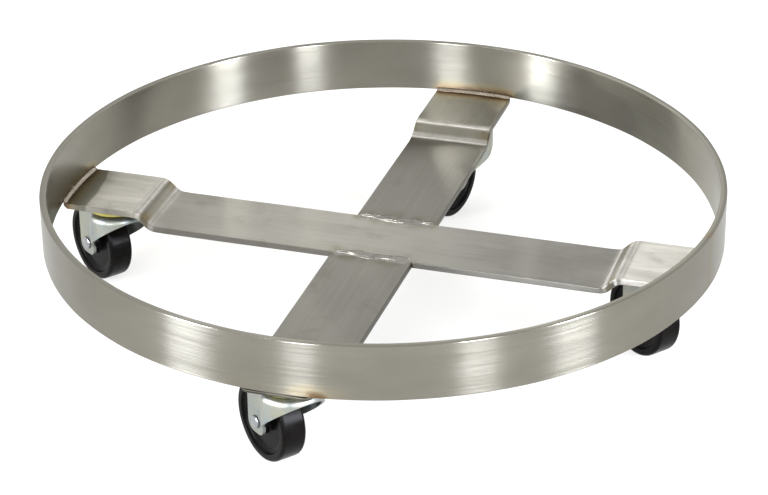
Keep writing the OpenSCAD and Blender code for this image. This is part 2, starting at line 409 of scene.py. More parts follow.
def make_centre_weld(arm):
    """A hand-blended butt weld: a low mound with long ridges that flow over it and sink into the plates."""
    half = BAR_W / 2
    length = BAR_W - 2.0
    turn = Matrix.Rotation(math.radians(BEARINGS[arm]), 4, "Z")
    rows, across = 200, 44
    wide = 9.5
    ridge_count = 9
    beads = []
    for side, z in ((1, -DROP), (-1, -DROP - BAR_T)):
        rng = random.Random(f"{arm} {side}")
        mark = rng.uniform(0, 50)
        ridges = []
        for k in range(ridge_count):
            mid = length * (k + rng.uniform(0.1, 0.9)) / ridge_count
            reach, lean, slant = rng.uniform(10, 22), rng.uniform(-4.4, 4.4), rng.uniform(-0.30, 0.30)
            fat, tall = rng.uniform(1.1, 2.0), rng.uniform(0.45, 1.0)
            ridges.append((mid, reach, lean, slant, fat, tall))
        sections, stations = [], []
        for i in range(rows + 1):
            s = length * i / rows
            end = smooth_step(min(s, length - s), 0.0, 4.0)
            drift = 1.8 * noise.noise((s * 0.05, mark, 1.0))
            spread = 4.6 + 2.2 * noise.noise((s * 0.09, mark, 6.0))
            section = []
            for j in range(across + 1):
                w = -wide + 2 * wide * j / across
                fullness = 0.9 + 0.5 * noise.noise((s * 0.09, mark, 2.0))
                h = 0.42 * math.exp(-(((w - drift) / spread) ** 2)) * fullness
                for mid, reach, lean, slant, fat, tall in ridges:
                    t = (s - mid) / reach
                    if abs(t) < 1.0:
                        line = drift + lean + slant * (s - mid) + 0.9 * math.sin(2.2 * t + mid)
                        h += tall * (1 - t * t) ** 2 * math.exp(-(((w - line) / fat) ** 2))
                h += 0.06 * noise.noise((s * 0.25, w * 0.3, mark)) - 0.16
                section.append((half + w, s - length / 2, z + side * (min(h, 1.8) * end - 0.3 * (1 - end))))
            section.append((half + wide, s - length / 2, z - side * 1.0))
            section.append((half - wide, s - length / 2, z - side * 1.0))
            sections.append(section)
            stations.append(s)
        beads.append(loft("bead", sections, turn, stations=stations, sharp=75))
    return joined("bead_centre_" + arm, beads)


def ring_face(y, r):
    return math.sqrt(r * r - y * y)


def make_pad_weld(arm):
    seed = 23 + 7 * ARMS.index(arm)
    length = BAR_W - 1.0
    turn = Matrix.Rotation(math.radians(BEARINGS[arm]), 4, "Z")

    def along(s):
        return s - length / 2

    def below(s):
        return s - length / 2 + 1.5

    upper = weld_bead(
        "bead", lambda s: (ring_face(along(s), RING_IR) - 3.7, along(s), -0.05),
        lambda s: (ring_face(along(s), RING_IR + 0.1), along(s), 2.5),
        lambda s: (-0.55, 0, 1), length, 0.5, pitch=2.6, ripple=0.42, seed=seed, root=2.0, matrix=turn)
    lower = weld_bead(
        "bead", lambda s: (BAR_END - END_CUT - 0.2, below(s), -6.1),
        lambda s: (ring_face(below(s), RING_R - 4.4), below(s), 0.05),
        lambda s: (0.8, 0, -1), length - 3.0, 0.2, pitch=2.8, ripple=0.30, seed=seed + 3, root=1.6,
        matrix=turn)
    return joined("bead_pad_" + arm, [upper, lower])


def make_seam():
    """The ground closing seam: a slightly raised, flattened strip up the outside of the hoop."""
    turn = Matrix.Rotation(SEAM, 4, "Z")
    return weld_bead(
        "bead_seam", lambda s: (RING_R - 0.12, -2.6, 1 + s), lambda s: (RING_R - 0.12, 2.6, 1 + s),
        lambda s: (1, 0, 0), RING_H - 2, 0.22, seed=5, ground=True, root=0.8, matrix=turn)


def make_plate_welds():
    beads = []
    length = 52.0
    for k, arm in enumerate(ARMS):
        for side in (-1, 1):
            beads.append(weld_bead(
                "bead", lambda s: (s - length / 2, side * 29.95, -8.9),
                lambda s: (s - length / 2, side * 33.0, -5.95),
                lambda s: (0, side, -1), length, 0.35, pitch=2.5, ripple=0.28, seed=51 + 2 * k + side,
                root=1.0, matrix=arm_matrix(arm)))
    return joined("bead_plates", beads)


# ---- casters ----


def fork_outline():
    """Half of the fork's plan, from the leg's back edge round to the front: (point, outward normal).

    The walls draw in from the round crown to the flat legs, inside the CAD's round skirt.
    """
    out = []
    leg_end = TRAIL + LEG_REACH
    steps = 20
    for k in range(steps):
        t = k / steps
        ease = t * t * (1.6 - 0.6 * t)
        out.append(((leg_end - (leg_end - WEB_T) * ease, LEG_Y), (0.0, 1.0)))
    out += [((WEB_T - 1.1 * k, LEG_Y), (0.0, 1.0)) for k in range(5)]
    turn = math.radians(98)
    p0, p3 = Vector((22.0, LEG_Y)), Vector((SKIRT_R * math.cos(turn), SKIRT_R * math.sin(turn)))
    p1 = p0 + Vector((-8.0, 0.0))
    p2 = p3 + Vector((math.sin(turn), -math.cos(turn))) * 8.0
    for k in range(20):
        t = k / 20
        p = p0 * (1 - t) ** 3 + p1 * 3 * t * (1 - t) ** 2 + p2 * 3 * t * t * (1 - t) + p3 * t**3
        d = (p1 - p0) * 3 * (1 - t) ** 2 + (p2 - p1) * 6 * t * (1 - t) + (p3 - p2) * 3 * t * t
        d.normalize()
        out.append(((p.x, p.y), (d.y, -d.x)))
    for k in range(23):
        a = turn + (math.pi - turn) * k / 22
        out.append(((SKIRT_R * math.cos(a), SKIRT_R * math.sin(a)), (math.cos(a), math.sin(a))))
    return out


def fork_low(t):
    """Height of the fork's lower edge at a distance t behind the swivel axis."""
    if t >= TRAIL - LEG_REACH:
        reach = min(max(abs(t - TRAIL) - LEG_REACH + LEG_ROUND, 0.0), LEG_ROUND)
        return AXLE_Z - LEG_DROP + LEG_ROUND - math.sqrt(LEG_ROUND**2 - reach**2)
    line = AXLE_Z + 1.2 + (16.5 - min(t, 16.5)) * 39.8 / 46.5
    heel = smooth_step(t, 14.5, TRAIL - LEG_REACH)
    return line * (1 - heel) + (AXLE_Z - LEG_DROP + LEG_ROUND) * heel


def fork_high(t):
    """Height at which the leg is cut off, behind the web that joins the two legs."""
    return FORK_TOP - max(0.0, t - WEB_T) * 18.0 / (TRAIL + LEG_REACH - WEB_T)


def fork_profile(s, inset):
    """(outward, down) at arc length s from the shoulder's start, on the surface inset under the outer one."""
    arc = SHOULDER * math.pi / 2
    radius = SHOULDER - inset
    if s < arc:
        a = s / SHOULDER
        return radius * math.sin(a), SHOULDER - radius * math.cos(a)
    return radius, SHOULDER + s - arc


def profile_length(depth):
    if depth < SHOULDER:
        return SHOULDER * math.acos(1 - depth / SHOULDER)
    return SHOULDER * math.pi / 2 + depth - SHOULDER


def make_fork(arm):
    """The pressed fork: a sheet 2.5 mm thick, from a domed crown down into two legs."""
    half = fork_outline()
    plan = half + [((x, -y), (nx, -ny)) for (x, y), (nx, ny) in reversed(half[:-1])]
    rows = 22
    first = 9
    arc = SHOULDER * math.pi / 2
    verts, under, faces = [], [], []
    for (x, y), (nx, ny) in plan:
        lo = profile_length(FORK_TOP - fork_high(x))
        hi = profile_length(FORK_TOP - fork_low(x))
        split = max(min(arc, 0.6 * hi), lo + 0.22 * (hi - lo))
        for j in range(rows + 1):
            if j <= first:
                s = lo + (split - lo) * j / first
            else:
                s = split + (hi - split) * (j - first) / (rows - first)
            for out, inset in ((verts, 0.0), (under, FORK_T)):
                outward, down = fork_profile(s, inset)
                out.append((x + nx * (outward - SHOULDER), y + ny * (outward - SHOULDER), FORK_TOP - down))
    n = len(plan)
    for i in range(n - 1):
        for j in range(rows):
            a, b = i * (rows + 1) + j, (i + 1) * (rows + 1) + j
            faces.append((a, b, b + 1, a + 1))
    # the flat of the crown, from the shoulder and the web's back edge in to the kingpin's hole
    loop = [i * (rows + 1) for i in range(n) if plan[i][0][0] <= WEB_T + 0.001]
    x_edge, y_edge = verts[loop[0]][:2]
    web = 10
    for k in range(1, web):
        loop.append(len(verts))
        y = -y_edge + 2 * y_edge * k / web
        verts.append((x_edge, y, FORK_TOP))
        under.append((x_edge, y, FORK_TOP - FORK_T))
    rings = 7
    columns = []
    for v in loop:
        x, y = verts[v][:2]
        a = math.atan2(y, x)
        column = [v]
        for k in range(1, rings + 1):
            px = x + (KINGPIN_HOLE_R * math.cos(a) - x) * k / rings
            py = y + (KINGPIN_HOLE_R * math.sin(a) - y) * k / rings
            column.append(len(verts))
            verts.append((px, py, FORK_TOP))
            under.append((px, py, FORK_TOP - FORK_T))
        columns.append(column)
    for i, column in enumerate(columns):
        after = columns[(i + 1) % len(columns)]
        for j in range(rings):
            faces.append((column[j], column[j + 1], after[j + 1], after[j]))
    # the underside, and the cut edge that joins the two
    total = len(verts)
    used = dict.fromkeys((v, face[(k + 1) % 4]) for face in faces for k, v in enumerate(face))
    rim = [(b, a, a + total, b + total) for a, b in used if (b, a) not in used]
    faces += [tuple(v + total for v in reversed(face)) for face in faces] + rim
    obj = new_object("fork_sheet_" + arm, verts + under, faces, matrix=caster_matrix(arm), sharp=50)
    edge = obj.modifiers.new("edges", "BEVEL")
    edge.width = 0.45 * MM
    edge.segments = 3
    edge.limit_method = "ANGLE"
    edge.angle_limit = math.radians(50)
    edge.harden_normals = True
    return obj


def make_plate(arm):
    corners = [(-35, -30, 6), (35, -30, 6), (35, 30, 6), (-35, 30, 6)]
    outline = rounded(corners, 8)
    sections = []
    low, high = PLATE_BOTTOM, -BAR_T
    for inset, z in ((1.8, low), (0.9, low), (0.3, low + 0.15), (0.0, low + 0.7), (0.0, high - 0.5),
                     (0.3, high - 0.12), (0.8, high), (1.8, high)):
        sections.append([(x - math.copysign(inset, x), y - math.copysign(inset, y), z) for x, y in outline])
    return loft("plate_" + arm, sections, arm_matrix(arm), sharp=60)


def make_cup(arm):
    """The upper race: a pressed ring with a rolled outer edge, open below over the balls."""
    outline = rounded([
        (14.0, PLATE_BOTTOM, 0.4), (24.3, PLATE_BOTTOM, 0.8),
        (26.0, -11.2, 1.6), (26.0, -15.0, 0.6), (24.6, -15.55, 0.4),
        (23.0, -15.5, 0.3), (22.9, -13.4, 0.3), (21.7, -11.4, 0.6), (18.3, -11.4, 0.6), (17.1, -13.4, 0.3),
        (17.0, -15.5, 0.3), (14.0, -15.5, 0.4)], 4)
    return lathe("race_ring_" + arm, outline, arm_matrix(arm), 96, sharp=60)


def wheel_outline():
    """Section of the wheel: (radius, width), for one side and its mirror image."""
    side = [
        (6.08, 12.5, 0.5), (11.0, 12.5, 0.9), (12.3, 8.2, 1.6), (26.0, 7.6, 2.4), (29.6, 8.6, 1.8),
        (30.9, 11.5, 0.7), (WHEEL_R, 11.5, 2.9),
    ]
    corners = side + [(r, -w, f) for r, w, f in reversed(side)]
    return rounded(corners, 6)


def make_wheel(arm):
    return lathe("tyre_" + arm, wheel_outline(), axle_matrix(arm), 160, sharp=60)


def make_hexagon(name, z0, z1, bore, matrix):
    """A hexagon whose corners are turned down at its z0 end, as on a real nut."""
    turns = 120
    rows = 14
    half = HEX_FLATS / 2
    sections = []
    for i in range(turns):
        a = 2 * math.pi * i / turns
        local = (math.degrees(a) + 30) % 60 - 30
        flat = half / math.cos(math.radians(local))
        column = [(bore, z0)]
        for j in range(rows + 1):
            z = z0 + (z1 - z0) * (j / rows)
            column.append((min(flat, half * 0.96 + (z - z0) * 1.75), z))
        column.append((bore, z1))
        sections.append([(r * math.cos(a), r * math.sin(a), z) for r, z in column])
    return loft(name, sections, matrix, wrap=True, sharp=30)


def make_nut(arm):
    """A flanged nut, on the leg away from the bolt's head."""
    place = axle_matrix(arm)
    bore = AXLE_R + 0.05
    flange = lathe("flange", rounded([
        (bore, -LEG_Y, 0.1), (8.3, -LEG_Y, 0.25), (8.3, -LEG_Y - 0.7, 0.35), (6.6, -LEG_Y - 1.5, 0.3),
        (bore, -LEG_Y - 1.5, 0.1)], 3), place, 72)
    body = make_hexagon("hex", -LEG_Y - NUT_END, -LEG_Y - 0.9, bore, place)
    return joined("nut_" + arm, [flange, body])


def make_bolt(arm):
    """A bolt with a low domed head, and a threaded tip that stands out past the nut."""
    place = axle_matrix(arm)
    dome_z = LEG_Y + 0.55
    outline = [(6.0, LEG_Y), (6.05, LEG_Y + 0.25), (6.0, dome_z)]
    for k in range(1, 11):
        a = math.radians(12 + 78 * k / 10)
        outline.append((5.95 * math.cos(a) if k < 10 else 0.0, dome_z + 2.05 * math.sin(a)))
    head = lathe("head", [(0.0, LEG_Y)] + outline, place, 72, sharp=50)
    tip = -LEG_Y - 9.0
    z = -LEG_Y - 5.2
    thread_pitch = 0.62
    outline = [(0.0, LEG_Y + 0.2), (AXLE_R, LEG_Y + 0.2), (AXLE_R, z)]
    while z > tip + 1.4:
        outline += [(AXLE_R - 0.45, z - 0.3), (AXLE_R, z - thread_pitch)]
        z -= thread_pitch
    outline += [(AXLE_R - 0.3, tip + 0.9), (AXLE_R - 1.0, tip + 0.35), (AXLE_R - 2.2, tip + 0.05), (0.0, tip)]
    shank = lathe("shank", outline, place, 60, sharp=35)
    return joined("bolt_" + arm, [head, shank])


# ---- materials ----


class Nodes:
    """Short calls that add linked shader nodes to one material."""

    def __init__(self, name):
        self.material = bpy.data.materials.new(name)
        self.material.use_nodes = True
        self.tree = self.material.node_tree
        self.tree.nodes.clear()
        self.out = self.tree.nodes.new("ShaderNodeOutputMaterial")
        self.shader = self.tree.nodes.new("ShaderNodeBsdfPrincipled")
        self.tree.links.new(self.shader.outputs[0], self.out.inputs["Surface"])

    def put(self, socket, value):
        if isinstance(value, bpy.types.NodeSocket):
            self.tree.links.new(value, socket)
        else:
            socket.default_value = value

    def add(self, kind, inputs=None, output=0, **settings):
        node = self.tree.nodes.new("ShaderNode" + kind)
        for key, value in settings.items():
            setattr(node, key, value)
        for key, value in (inputs or {}).items():
            self.put(node.inputs[key], value)
        return node.outputs[output]

    def math(self, operation, a, b=0.0, clamp=False):
        return self.add("Math", {0: a, 1: b}, operation=operation, use_clamp=clamp)

    def centred(self, value):
        """A value from 0 to 1, moved to lie about zero."""
        return self.math("SUBTRACT", value, 0.5)

    def noise(self, vector, scale, detail=4.0, rough=0.55, distortion=0.0):
        return self.add("TexNoise", {"Vector": vector, "Scale": scale, "Detail": detail, "Roughness": rough,
                                     "Distortion": distortion})

    def stretched(self, vector, scale):
        return self.add("Mapping", {"Vector": vector, "Scale": scale})

    def ramp(self, value, stops):
        node = self.tree.nodes.new("ShaderNodeValToRGB")
        elements = node.color_ramp.elements
        while len(elements) < len(stops):
            elements.new(0.5)
        for element, (position, color) in zip(elements, stops):
            element.position = position
            element.color = (*color, 1.0)
        self.tree.links.new(value, node.inputs[0])
        return node.outputs[0]

    def fit(self, value, lo, hi, out_lo=0.0, out_hi=1.0, smooth=False):
        return self.add("MapRange", {"Value": value, "From Min": lo, "From Max": hi, "To Min": out_lo,
                                     "To Max": out_hi},
                        interpolation_type="SMOOTHSTEP" if smooth else "LINEAR")

    def mix(self, factor, a, b, blend="MIX"):
        node = self.tree.nodes.new("ShaderNodeMix")
        node.data_type = "RGBA"
        node.blend_type = blend
        self.put(node.inputs[0], factor)
        self.put(node.inputs[6], a if isinstance(a, bpy.types.NodeSocket) else (*a, 1.0))
        self.put(node.inputs[7], b if isinstance(b, bpy.types.NodeSocket) else (*b, 1.0))
        return node.outputs[2]

    def band(self, value, rise, fall, peak=1.0):
        """Climbs from 0 to peak over rise, and falls back to 0 over fall."""
        return self.math("MULTIPLY", self.fit(value, *rise), self.fit(value, *fall, peak, 0.0))

    def scaled(self, color, factor):
        """A colour times one grey factor."""
        grey = self.add("CombineColor", {0: factor, 1: factor, 2: factor})
        return self.mix(1.0, color, grey, "MULTIPLY")

    def length(self, a, b):
        """The length of the vector (a, b)."""
        return self.math("SQRT", self.math("ADD", self.math("POWER", a, 2.0), self.math("POWER", b, 2.0)))

    def bump(self, height, strength, distance):
        return self.add("Bump", {"Height": height, "Strength": strength, "Distance": distance})

    def set(self, **values):
        for key, value in values.items():
            self.put(self.shader.inputs[key.replace("_", " ")], value)


# places on the steel, in metres as the shaders see them
WELD_LINE = 0.2945
STAIN_X = 0.037
STAINS = (  # half width, height, depth and colour of the scorch under the front of the hoop
    (0.034, 0.019, 0.50, (0.300, 0.250, 0.145)),
    (0.013, 0.0075, 0.95, (0.095, 0.052, 0.026)),
)
HOOP_WALL = (0.3012, 0.3030)
PAD_EDGE = (0.2270, 0.2300)
UPPER_BEND = ((0.2203, 0.2222), (0.2262, 0.2310))
LOWER_BEND = ((0.2080, 0.2104), (0.2130, 0.2150))
SLOPE = ((0.2136, 0.2152), (0.2200, 0.2214))
LEFT_BAND_X = -0.2755
HEAT_TINTS = [  # burnt brown at the weld, then straw, then bare metal
    (0.0, (0.080, 0.050, 0.034)), (0.16, (0.130, 0.085, 0.048)), (0.28, (0.230, 0.175, 0.088)),
    (0.48, (0.275, 0.245, 0.150)), (1.0, (0.255, 0.243, 0.200))]


def brushed_tone(m, cloud, grain_fine, grain_wide, low, high, wide_range, fine_range):
    """Cloudy base colour, crossed by wide and fine grain."""
    tone = m.ramp(cloud, [(0.25, low), (0.75, high)])
    tone = m.scaled(tone, m.fit(grain_wide, 0.30, 0.70, *wide_range))
    return m.scaled(tone, m.fit(grain_fine, 0.3, 0.7, *fine_range))


def hoop_marks_and_painted_light(m, tone, uv, place, wander):
    """The hoop's seam, its scorched spot, and painted light: its outside painted darker and its inside
    painted brighter towards +X. Gives (tone, how far inside).
    """
    x, y, z = m.add("SeparateXYZ", {0: place}).node.outputs
    u = m.add("SeparateXYZ", {0: uv})
    half_turn = math.pi * RING_R * MM
    seam = m.math("SUBTRACT", half_turn, m.math("ABSOLUTE", m.math("SUBTRACT", u, half_turn)))
    seam = m.math("ADD", seam, m.math("MULTIPLY", wander, 0.016))
    tone = m.mix(m.fit(seam, 0.001, 0.011, 0.60, 0.0, smooth=True), tone, (0.215, 0.175, 0.120))
    radius = m.length(x, y)
    # painted light: the inside of the hoop is brightened towards +X and its outside darkened, painted
    # reflection and shade laid over the metal's colour
    right = m.fit(x, 0.02, 0.14, 1.0, 1.32)
    painted_shade_outside = m.math("MULTIPLY", m.fit(radius, *HOOP_WALL), m.math("SUBTRACT", 0.91, right))
    tone = m.scaled(tone, m.math("ADD", right, painted_shade_outside))
    front = m.fit(y, -0.298, -0.296, 1.0, 0.0)
    for wide, tall, deep, color in STAINS:
        dx, dz = m.math("DIVIDE", m.math("SUBTRACT", x, STAIN_X), wide), m.math("DIVIDE", z, tall)
        gap = m.math("ADD", m.length(dx, dz), m.math("MULTIPLY", wander, 1.3))
        spot = m.math("MULTIPLY", m.fit(gap, 0.15, 1.0, deep, 0.0, smooth=True), front)
        tone = m.mix(spot, tone, color)
    return tone, m.fit(radius, *HOOP_WALL, 1.0, 0.10)


def ground_pads_and_painted_light(m, tone, uv, place, wander, x, y, far):
    """Each pad is brightened, partly for its grinding and partly as a painted sheen, with smudges, and a dark
    band beside the left weld that is a painted reflection of the hoop's wall.
    """
    # painted sheen: the pads are brightened, the side pads most, partly for their grinding and partly for the
    # light they mirror
    lift = m.math("ADD", m.fit(x, -0.21, -0.20, 1.84, 1.22), m.fit(x, 0.20, 0.21, 0.0, 1.45))
    warm = m.add("CombineColor", {0: lift, 1: lift, 2: m.math("MULTIPLY", lift, 1.01)})
    grind_and_sheen_tone = m.mix(1.0, tone, warm, "MULTIPLY")
    swirl = m.noise(m.stretched(uv, (16.0, 90.0, 1.0)), 1.0, 4.0, 0.6, 0.6)
    grind_and_sheen_tone = m.mix(m.fit(swirl, 0.32, 0.62, 0.34, 0.0), grind_and_sheen_tone, tone)
    tone = m.mix(m.fit(far, *PAD_EDGE), tone, grind_and_sheen_tone)
    smudge = m.fit(m.noise(place, 34.0, 4.0, 0.6), 0.56, 0.74, 0.0, 0.45)
    tone = m.mix(smudge, tone, (0.165, 0.155, 0.130))
    # painted reflection: a dark band beside the left pad's weld stands in for the hoop's wall mirrored in the
    # pad
    margin = m.math("ADD", m.math("MULTIPLY", y, 0.10), m.math("MULTIPLY", wander, 0.004))
    margin = m.math("ADD", margin, m.math("MULTIPLY", m.math("MULTIPLY", y, y), 2.0))
    past = m.math("SUBTRACT", m.math("SUBTRACT", LEFT_BAND_X, margin), x)
    return m.mix(m.fit(past, -0.0008, 0.0008, 0.0, 0.85), tone, (0.215, 0.202, 0.160))


def rubbed_bends(m, tone, rough, place, wander, side, far):
    """Bends rubbed bright, and the slope between them darker, with rust near its edges."""
    patchy = m.noise(m.stretched(place, (45.0, 45.0, 30.0)), 1.0, 3.0, 0.6)
    line = m.math("ADD", far, m.math("MULTIPLY", wander, 0.0035))
    rubbed = m.math("MAXIMUM", m.band(line, *UPPER_BEND), m.band(line, *LOWER_BEND, 0.7))
    bright = m.math("MULTIPLY", rubbed, m.fit(patchy, 0.32, 0.62, 0.25, 0.90))
    tone = m.mix(bright, tone, (0.430, 0.412, 0.372))
    rough = m.math("ADD", rough, m.math("MULTIPLY", bright, -0.05))
    slope = m.band(far, *SLOPE)
    tone = m.mix(m.math("MULTIPLY", slope, 0.62), tone, (0.178, 0.168, 0.132))
    rust = m.math("MULTIPLY", slope, m.fit(side, 0.020, 0.034, 0.08, 0.70, smooth=True))
    rust = m.math("MULTIPLY", rust, m.fit(m.noise(place, 75.0, 2.0), 0.40, 0.60, 0.1, 1.0))
    return m.mix(rust, tone, (0.150, 0.110, 0.050)), rough


def centre_tint(m, tone, place, ax, ay):
    """Heat tint beside the two centre welds."""
    off_seam = m.math("ABSOLUTE", m.math("SUBTRACT", ay, BAR_W / 2 * MM))
    along_seam = m.fit(ax, 0.036, 0.044, 1.0, 0.0)
    olive = m.math("MULTIPLY", m.fit(off_seam, 0.004, 0.017, 0.80, 0.0), along_seam)
    olive = m.math("MULTIPLY", olive, m.fit(m.noise(place, 70.0, 3.0), 0.42, 0.62, 0.1, 1.0))
    return m.mix(olive, tone, (0.150, 0.140, 0.092))


def brushed_steel(name, ring):
    """Brushed stainless: long fine grain, cloudy patches, the tints that welding leaves, and painted light
    and shade on the hoop, the pads and the right arm.
    """
    m = Nodes(name)
    uv = m.add("UVMap", uv_map=UV_NAME)
    place = m.add("TexCoord", output=3)
    grain_fine = m.noise(m.stretched(uv, (18.0, 2600.0, 1.0)), 1.0, 3.0, 0.7)
    grain_wide = m.noise(m.stretched(uv, (6.0, 420.0, 1.0)), 1.0, 4.0, 0.65)
    cloud = m.noise(m.stretched(uv, (9.0, 22.0, 1.0)), 1.0, 4.0, 0.6)
    wander = m.centred(m.noise(place, 60.0, 3.0, 0.6))
    x, y, z = m.add("SeparateXYZ", {0: place}).node.outputs
    ax, ay = m.math("ABSOLUTE", x), m.math("ABSOLUTE", y)
    side, far = m.math("MINIMUM", ax, ay), m.math("MAXIMUM", ax, ay)
    if ring:
        tone = brushed_tone(m, cloud, grain_fine, grain_wide, (0.190, 0.181, 0.151), (0.243, 0.233, 0.199),
                            (0.965, 1.03), (0.975, 1.02))
        rough = m.fit(cloud, 0.2, 0.8, 0.205, 0.245)
        tone, inside = hoop_marks_and_painted_light(m, tone, uv, place, wander)
        past_bar = m.math("MAXIMUM", m.math("SUBTRACT", side, 0.034), 0.0)
        near = m.length(past_bar, z)
    else:
        tone = brushed_tone(m, cloud, grain_fine, grain_wide, (0.225, 0.216, 0.188), (0.292, 0.280, 0.248),
                            (0.89, 1.09), (0.955, 1.04))
        rough = m.fit(cloud, 0.2, 0.8, 0.31, 0.40)
        inside = 1.0
        near = m.math("ABSOLUTE", m.math("SUBTRACT", far, WELD_LINE))
        # painted shade: the right arm is darkened, standing in for the light falling off from left to right
        tone = m.scaled(tone, m.fit(x, -0.03, 0.10, 1.0, 0.80))
        tone = ground_pads_and_painted_light(m, tone, uv, place, wander, x, y, far)
        tone, rough = rubbed_bends(m, tone, rough, place, wander, side, far)
        # sheared edges are duller than the ground faces
        tone = m.scaled(tone, m.fit(side, 0.0366, 0.0371, 1.0, 0.66))
        tone = centre_tint(m, tone, place, ax, ay)
    near = m.math("ADD", near, m.math("MULTIPLY", wander, 0.007))
    tint = m.ramp(m.math("DIVIDE", near, 0.020, clamp=True), HEAT_TINTS)
    amount = m.math("MULTIPLY", m.fit(near, 0.003, 0.014, 0.80, 0.0, smooth=True), inside)
    rough = m.math("ADD", rough, m.fit(grain_wide, 0.3, 0.7, -0.03, 0.03))
    height = m.math("ADD", m.math("MULTIPLY", grain_fine, 0.5), m.math("MULTIPLY", grain_wide, 0.5))
    m.set(Base_Color=m.mix(amount, tone, tint), Metallic=1.0, Roughness=rough,
          Anisotropic=1.0, Anisotropic_Rotation=0.25,
          Tangent=m.add("Tangent", direction_type="UV_MAP", uv_map=UV_NAME),
          Normal=m.bump(height, 0.03 if ring else 0.12, 0.0004), Specular_Tint=(0.78, 0.78, 0.77, 1.0))
    return m.material


def weld_metal(name, edge_tint, shade=1.0):
    """Bare bead metal. edge_tint is how far the toes are browned; when it is set, the bead below the hoop's
    lower edge is also darkened as painted shade.
    """
    m = Nodes(name)
    place = m.add("TexCoord", output=3)
    cloud = m.noise(place, 110.0, 3.0, 0.5)
    tone = m.ramp(cloud, [(0.3, (0.235, 0.226, 0.202)), (0.7, (0.315, 0.304, 0.275))])
    tone = m.mix(1.0, tone, (shade, shade, shade), "MULTIPLY")
    if edge_tint:
        w = m.add("SeparateXYZ", {0: m.add("UVMap", uv_map=UV_NAME)}, output=1)
        wander = m.centred(m.noise(place, 90.0, 3.0))
        edge = m.math("ADD", m.math("ABSOLUTE", m.centred(w)), m.math("MULTIPLY", wander, 0.5))
        tone = m.mix(1.0, tone, (1.08, 1.00, 0.90), "MULTIPLY")
        tone = m.mix(m.fit(edge, 0.22, 0.50, 0.0, edge_tint, smooth=True), tone, (0.13, 0.088, 0.055))
        # painted shade: the bead below the hoop's lower edge, under the pad and the bars, is darkened and
        # browned to stand in for the shade there
        z = m.add("SeparateXYZ", {0: place}, output=2)
        tone = m.mix(m.fit(z, -0.0015, 0.0, 0.85, 0.0), tone, (0.105, 0.082, 0.055))
    m.set(Base_Color=tone, Metallic=1.0, Roughness=m.fit(m.noise(place, 150.0, 3.0), 0.3, 0.7, 0.17, 0.29),
          Normal=m.bump(m.noise(place, 600.0, 3.0, 0.6), 0.06, 0.0003))
    return m.material


def zinc(name, low, high, rough_lo, rough_hi, rim=False):
    """Electroplated zinc, whose film drifts between two tints. rim paints a dark shadow ring at a bolt head's
    edge.
    """
    m = Nodes(name)
    place = m.add("TexCoord", output=3)
    drift = m.noise(place, 46.0, 3.0, 0.55, 0.6)
    tone = m.ramp(drift, [(0.32, low), (0.68, high)])
    speck = m.fit(m.noise(place, 700.0, 2.0, 0.6), 0.35, 0.65, 0.93, 1.04)
    tone = m.scaled(tone, speck)
    if rim:
        # painted shadow: a dark ring at the head's edge stands in for the shade in the gap under the head
        v = m.add("SeparateXYZ", {0: m.add("UVMap", uv_map=UV_NAME)}, output=1)
        edge = m.band(v, (0.0052, 0.0058), (0.0068, 0.0082))
        tone = m.mix(m.math("MULTIPLY", edge, 0.85), tone, (0.045, 0.045, 0.048))
    rough = m.fit(m.noise(place, 120.0, 4.0, 0.6), 0.3, 0.7, rough_lo, rough_hi)
    m.set(Base_Color=tone, Metallic=1.0, Roughness=rough,
          Normal=m.bump(m.noise(place, 420.0, 3.0, 0.6), 0.10, 0.0004))
    return m.material


def wheel_black():
    m = Nodes("moulded_black")
    place = m.add("TexCoord", output=3)
    cloud = m.noise(place, 70.0, 4.0, 0.6)
    tone = m.ramp(cloud, [(0.3, (0.0016, 0.0014, 0.0012)), (0.7, (0.0034, 0.0029, 0.0026))])
    scuff = m.fit(m.noise(place, 260.0, 5.0, 0.7), 0.64, 0.74, 0.0, 0.25)
    color = m.mix(scuff, tone, (0.045, 0.043, 0.041))
    rough = m.fit(cloud, 0.3, 0.7, 0.20, 0.31)
    m.set(Base_Color=color, Roughness=rough, Specular_IOR_Level=0.045,
          Normal=m.bump(m.noise(place, 650.0, 3.0, 0.6), 0.06, 0.0004))
    return m.material


def floor_material():
    m = Nodes("studio_floor")
    place = m.add("TexCoord", output=3)
    tone = m.ramp(m.noise(place, 3.0, 2.0), [(0.0, (0.33, 0.325, 0.31)), (1.0, (0.35, 0.345, 0.33))])
    m.set(Base_Color=tone, Roughness=0.9, Specular_IOR_Level=0.0, Emission_Color=(1.0, 0.995, 0.98, 1.0),
          Emission_Strength=0.56)
    return m.material


# ---- the object ----

RING_STEEL = brushed_steel("steel_hoop", True)
BAR_STEEL = brushed_steel("steel_bars", False)
WELD = weld_metal("weld_bead", 0.85)
BLENDED_WELD = weld_metal("weld_blended", 0.0, 0.80)
GROUND_WELD = brushed_steel("weld_ground", True)
BRIGHT_ZINC = zinc("bright_zinc", (0.215, 0.240, 0.245), (0.285, 0.285, 0.225), 0.34, 0.46)
BURNT_ZINC = zinc("burnt_zinc", (0.040, 0.036, 0.028), (0.085, 0.080, 0.062), 0.40, 0.55)
HEAD_ZINC = zinc("head_zinc", (0.250, 0.260, 0.275), (0.330, 0.335, 0.345), 0.20, 0.28, rim=True)
YELLOW_ZINC = zinc("yellow_zinc", (0.330, 0.285, 0.075), (0.430, 0.395, 0.165), 0.20, 0.30)
BALL_STEEL = zinc("ball_steel", (0.60, 0.60, 0.60), (0.68, 0.68, 0.67), 0.08, 0.16)
BLACK = wheel_black()


def finish_piece(obj, material, slot, body, *nodes):
    obj.data.materials.clear()
    obj.data.materials.append(material)
    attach(obj, body)
    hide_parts(*nodes)
    return obj


def dress(node, material):
    """Gives a CAD node that stays visible its own material."""
    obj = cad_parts[node]
    obj.data.materials.clear()
    obj.data.materials.append(material)


